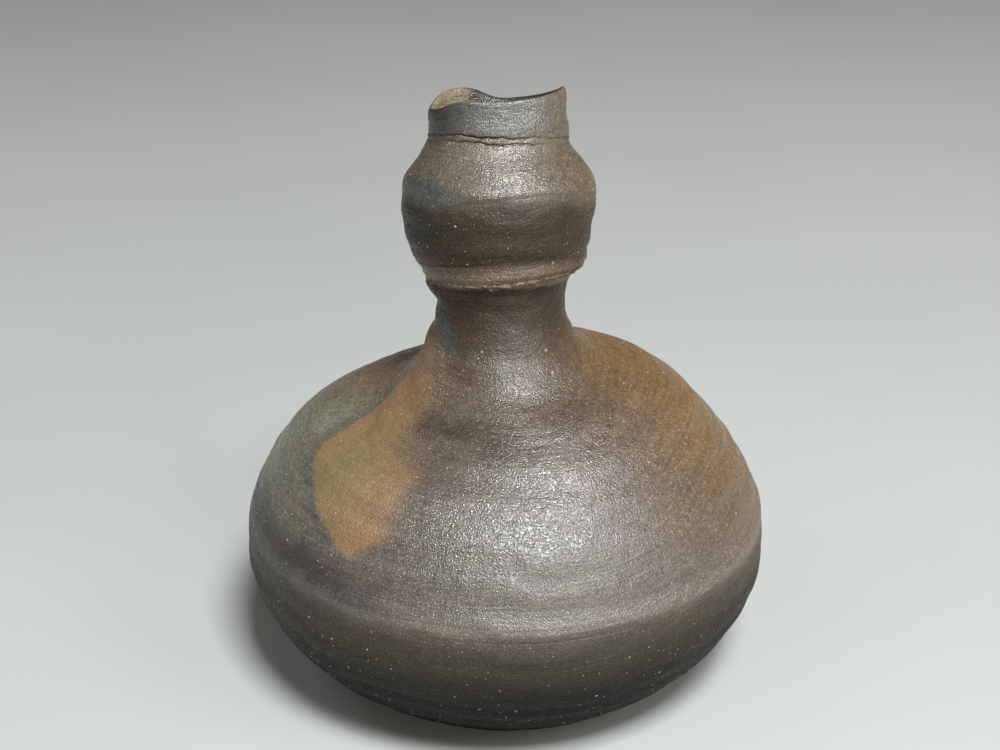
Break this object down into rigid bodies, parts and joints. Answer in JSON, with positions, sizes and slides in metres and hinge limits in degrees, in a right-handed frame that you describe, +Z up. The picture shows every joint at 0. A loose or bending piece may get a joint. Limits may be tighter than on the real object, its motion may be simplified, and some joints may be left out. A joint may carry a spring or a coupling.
{
  "type": "sake bottle",
  "caption": "Gourd-shaped unglazed stoneware sake bottle: wide belly, narrow waist, small upper bulb that leans back, and a mouth collar with a wavy rim.",
  "frame": {"origin": "middle of the flat foot, on the surface the bottle stands on", "axes": "+Z up; -Y is the front, the side with the ochre flash; the head leans back, a little to the left of +Y"},
  "size_m": [0.112, 0.112, 0.1269],
  "materials": {
    "foot_clay": "dark grey-black fired stoneware, matt, string-cut underneath",
    "belly_clay": "grey-brown fired stoneware with a dull metallic sheen, pale grit and throwing lines",
    "shoulder_clay": "silvery brown fired stoneware with an ochre-orange flash, ash-green patch and warm shoulder",
    "neck_clay": "dark brown fired stoneware, fine throwing lines",
    "bulb_clay": "brown fired stoneware, bluish sheen on one side, tan on top",
    "collar_clay": "grey-brown fired stoneware, close throwing lines, pale edge",
    "seam_slip": "joining slip and soft coils of the same clay, fired rough"
  },
  "bodies": {
    "root": {"base_slab": "foot_clay", "base_coil": "foot_clay", "lower_bowl": "belly_clay", "belly_seam": "seam_slip", "shoulder_dome": "shoulder_clay", "neck": "neck_clay", "neck_flare": "neck_clay", "neck_seam": "seam_slip", "upper_bulb": "bulb_clay", "collar_coil": "seam_slip", "mouth_collar": "collar_clay"}
  },
  "joints": []
}
